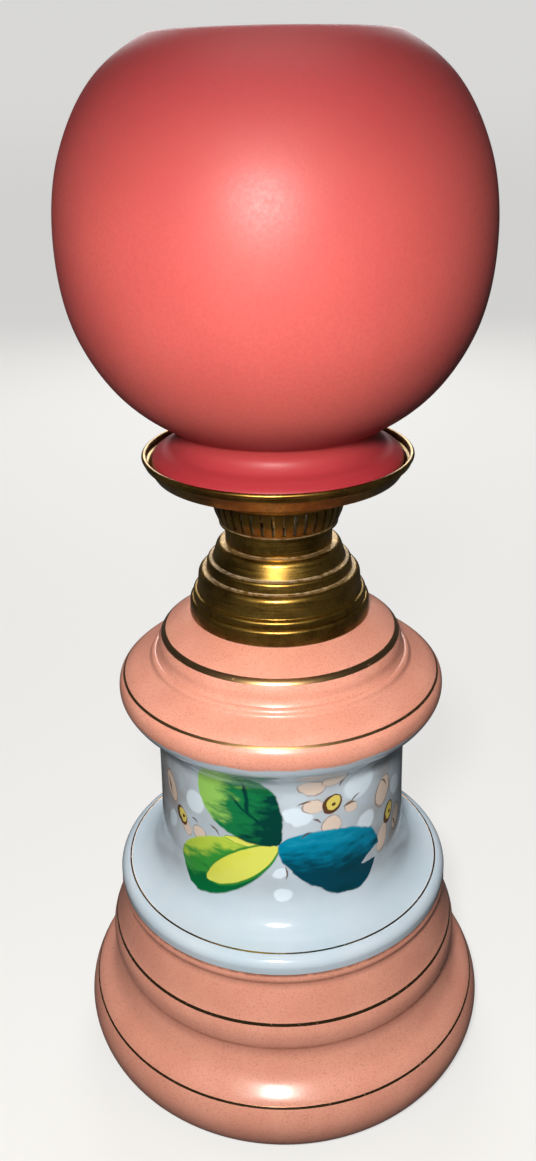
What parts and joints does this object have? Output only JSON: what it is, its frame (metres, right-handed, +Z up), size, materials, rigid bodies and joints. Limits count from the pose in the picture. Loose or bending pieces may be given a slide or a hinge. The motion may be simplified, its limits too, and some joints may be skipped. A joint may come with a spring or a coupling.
{
  "type": "oil lamp",
  "caption": "Table oil lamp with a two-step pink foot, painted white glass waist, drop-in brass font, flat-wick burner, shade gallery and satin ball shade",
  "frame": {"origin": "centre of the foot's underside, on the surface the lamp stands on", "axes": "+Z up along the lamp's axis; -Y is the front; +Y is the wick knob's side"},
  "size_m": [0.1892, 0.1892, 0.4358],
  "materials": {
    "pink_glaze": "semi-gloss fired salmon enamel on glass, fine darker speckle",
    "white_opal": "glossy opal white glass with hand-painted flowers and a pink enamelled shoulder",
    "plaster": "matte lamp plaster",
    "aged_brass": "aged dark lacquered brass",
    "font_brass": "dull unpolished brass",
    "cork": "compressed cork",
    "steel": "dull steel wire and wheels",
    "cotton": "woven cotton wick, charred at the top",
    "clear_glass": "clear thin blown glass",
    "rose_satin": "acid-satin cased rose glass"
  },
  "bodies": {
    "base": {"foot_glass": "pink_glaze", "foot_cement_ring": "plaster", "body_glass": "white_opal", "seat_cement_ring": "plaster", "font_seat_ring": "aged_brass"},
    "font": {"font_bowl": "font_brass", "font_cap": "aged_brass", "burner_collar": "aged_brass"},
    "burner": {"collar_gasket": "cork", "burner_base": "aged_brass", "air_basket": "aged_brass", "burner_deck": "aged_brass", "wick_tube": "font_brass", "spindle_bracket": "font_brass", "spindle_sleeve": "font_brass", "flame_spreader": "aged_brass", "chimney_prongs": "aged_brass", "shade_gallery": "aged_brass"},
    "wick_drive": {"wick_spindle": "steel", "wick_wheels": "steel", "wick_knob": "aged_brass"},
    "wick": {"wick": "cotton"},
    "chimney": {"chimney": "clear_glass"},
    "shade": {"ball_shade": "rose_satin"}
  },
  "joints": [
    {"name": "font_lift", "type": "slide", "parent": "base", "child": "font", "axis": [0, 0, 1], "range_m": [0, 0.115]},
    {"name": "burner_turn", "type": "hinge", "parent": "font", "child": "burner", "pos_m": [0, 0, 0.2575], "axis": [0, 0, 1], "range_deg": [0, 720]},
    {"name": "wick_turn", "type": "hinge", "parent": "burner", "child": "wick_drive", "pos_m": [-0.0055, 0.046, 0.2646], "axis": [0, -1, 0], "range_deg": [-60, 90]},
    {"name": "wick_feed", "type": "slide", "parent": "burner", "child": "wick", "axis": [0, 0, 1], "range_m": [-0.0041, 0.0061]},
    {"name": "chimney_lift", "type": "slide", "parent": "burner", "child": "chimney", "axis": [0, 0, 1], "range_m": [0, 0.165]},
    {"name": "shade_lift", "type": "slide", "parent": "burner", "child": "shade", "axis": [0, 0, 1], "range_m": [0, 0.16]}
  ],
  "couplings": [
    {"joint": "wick_feed", "follows": "wick_turn", "m_per_rad": 0.0038}
  ]
}
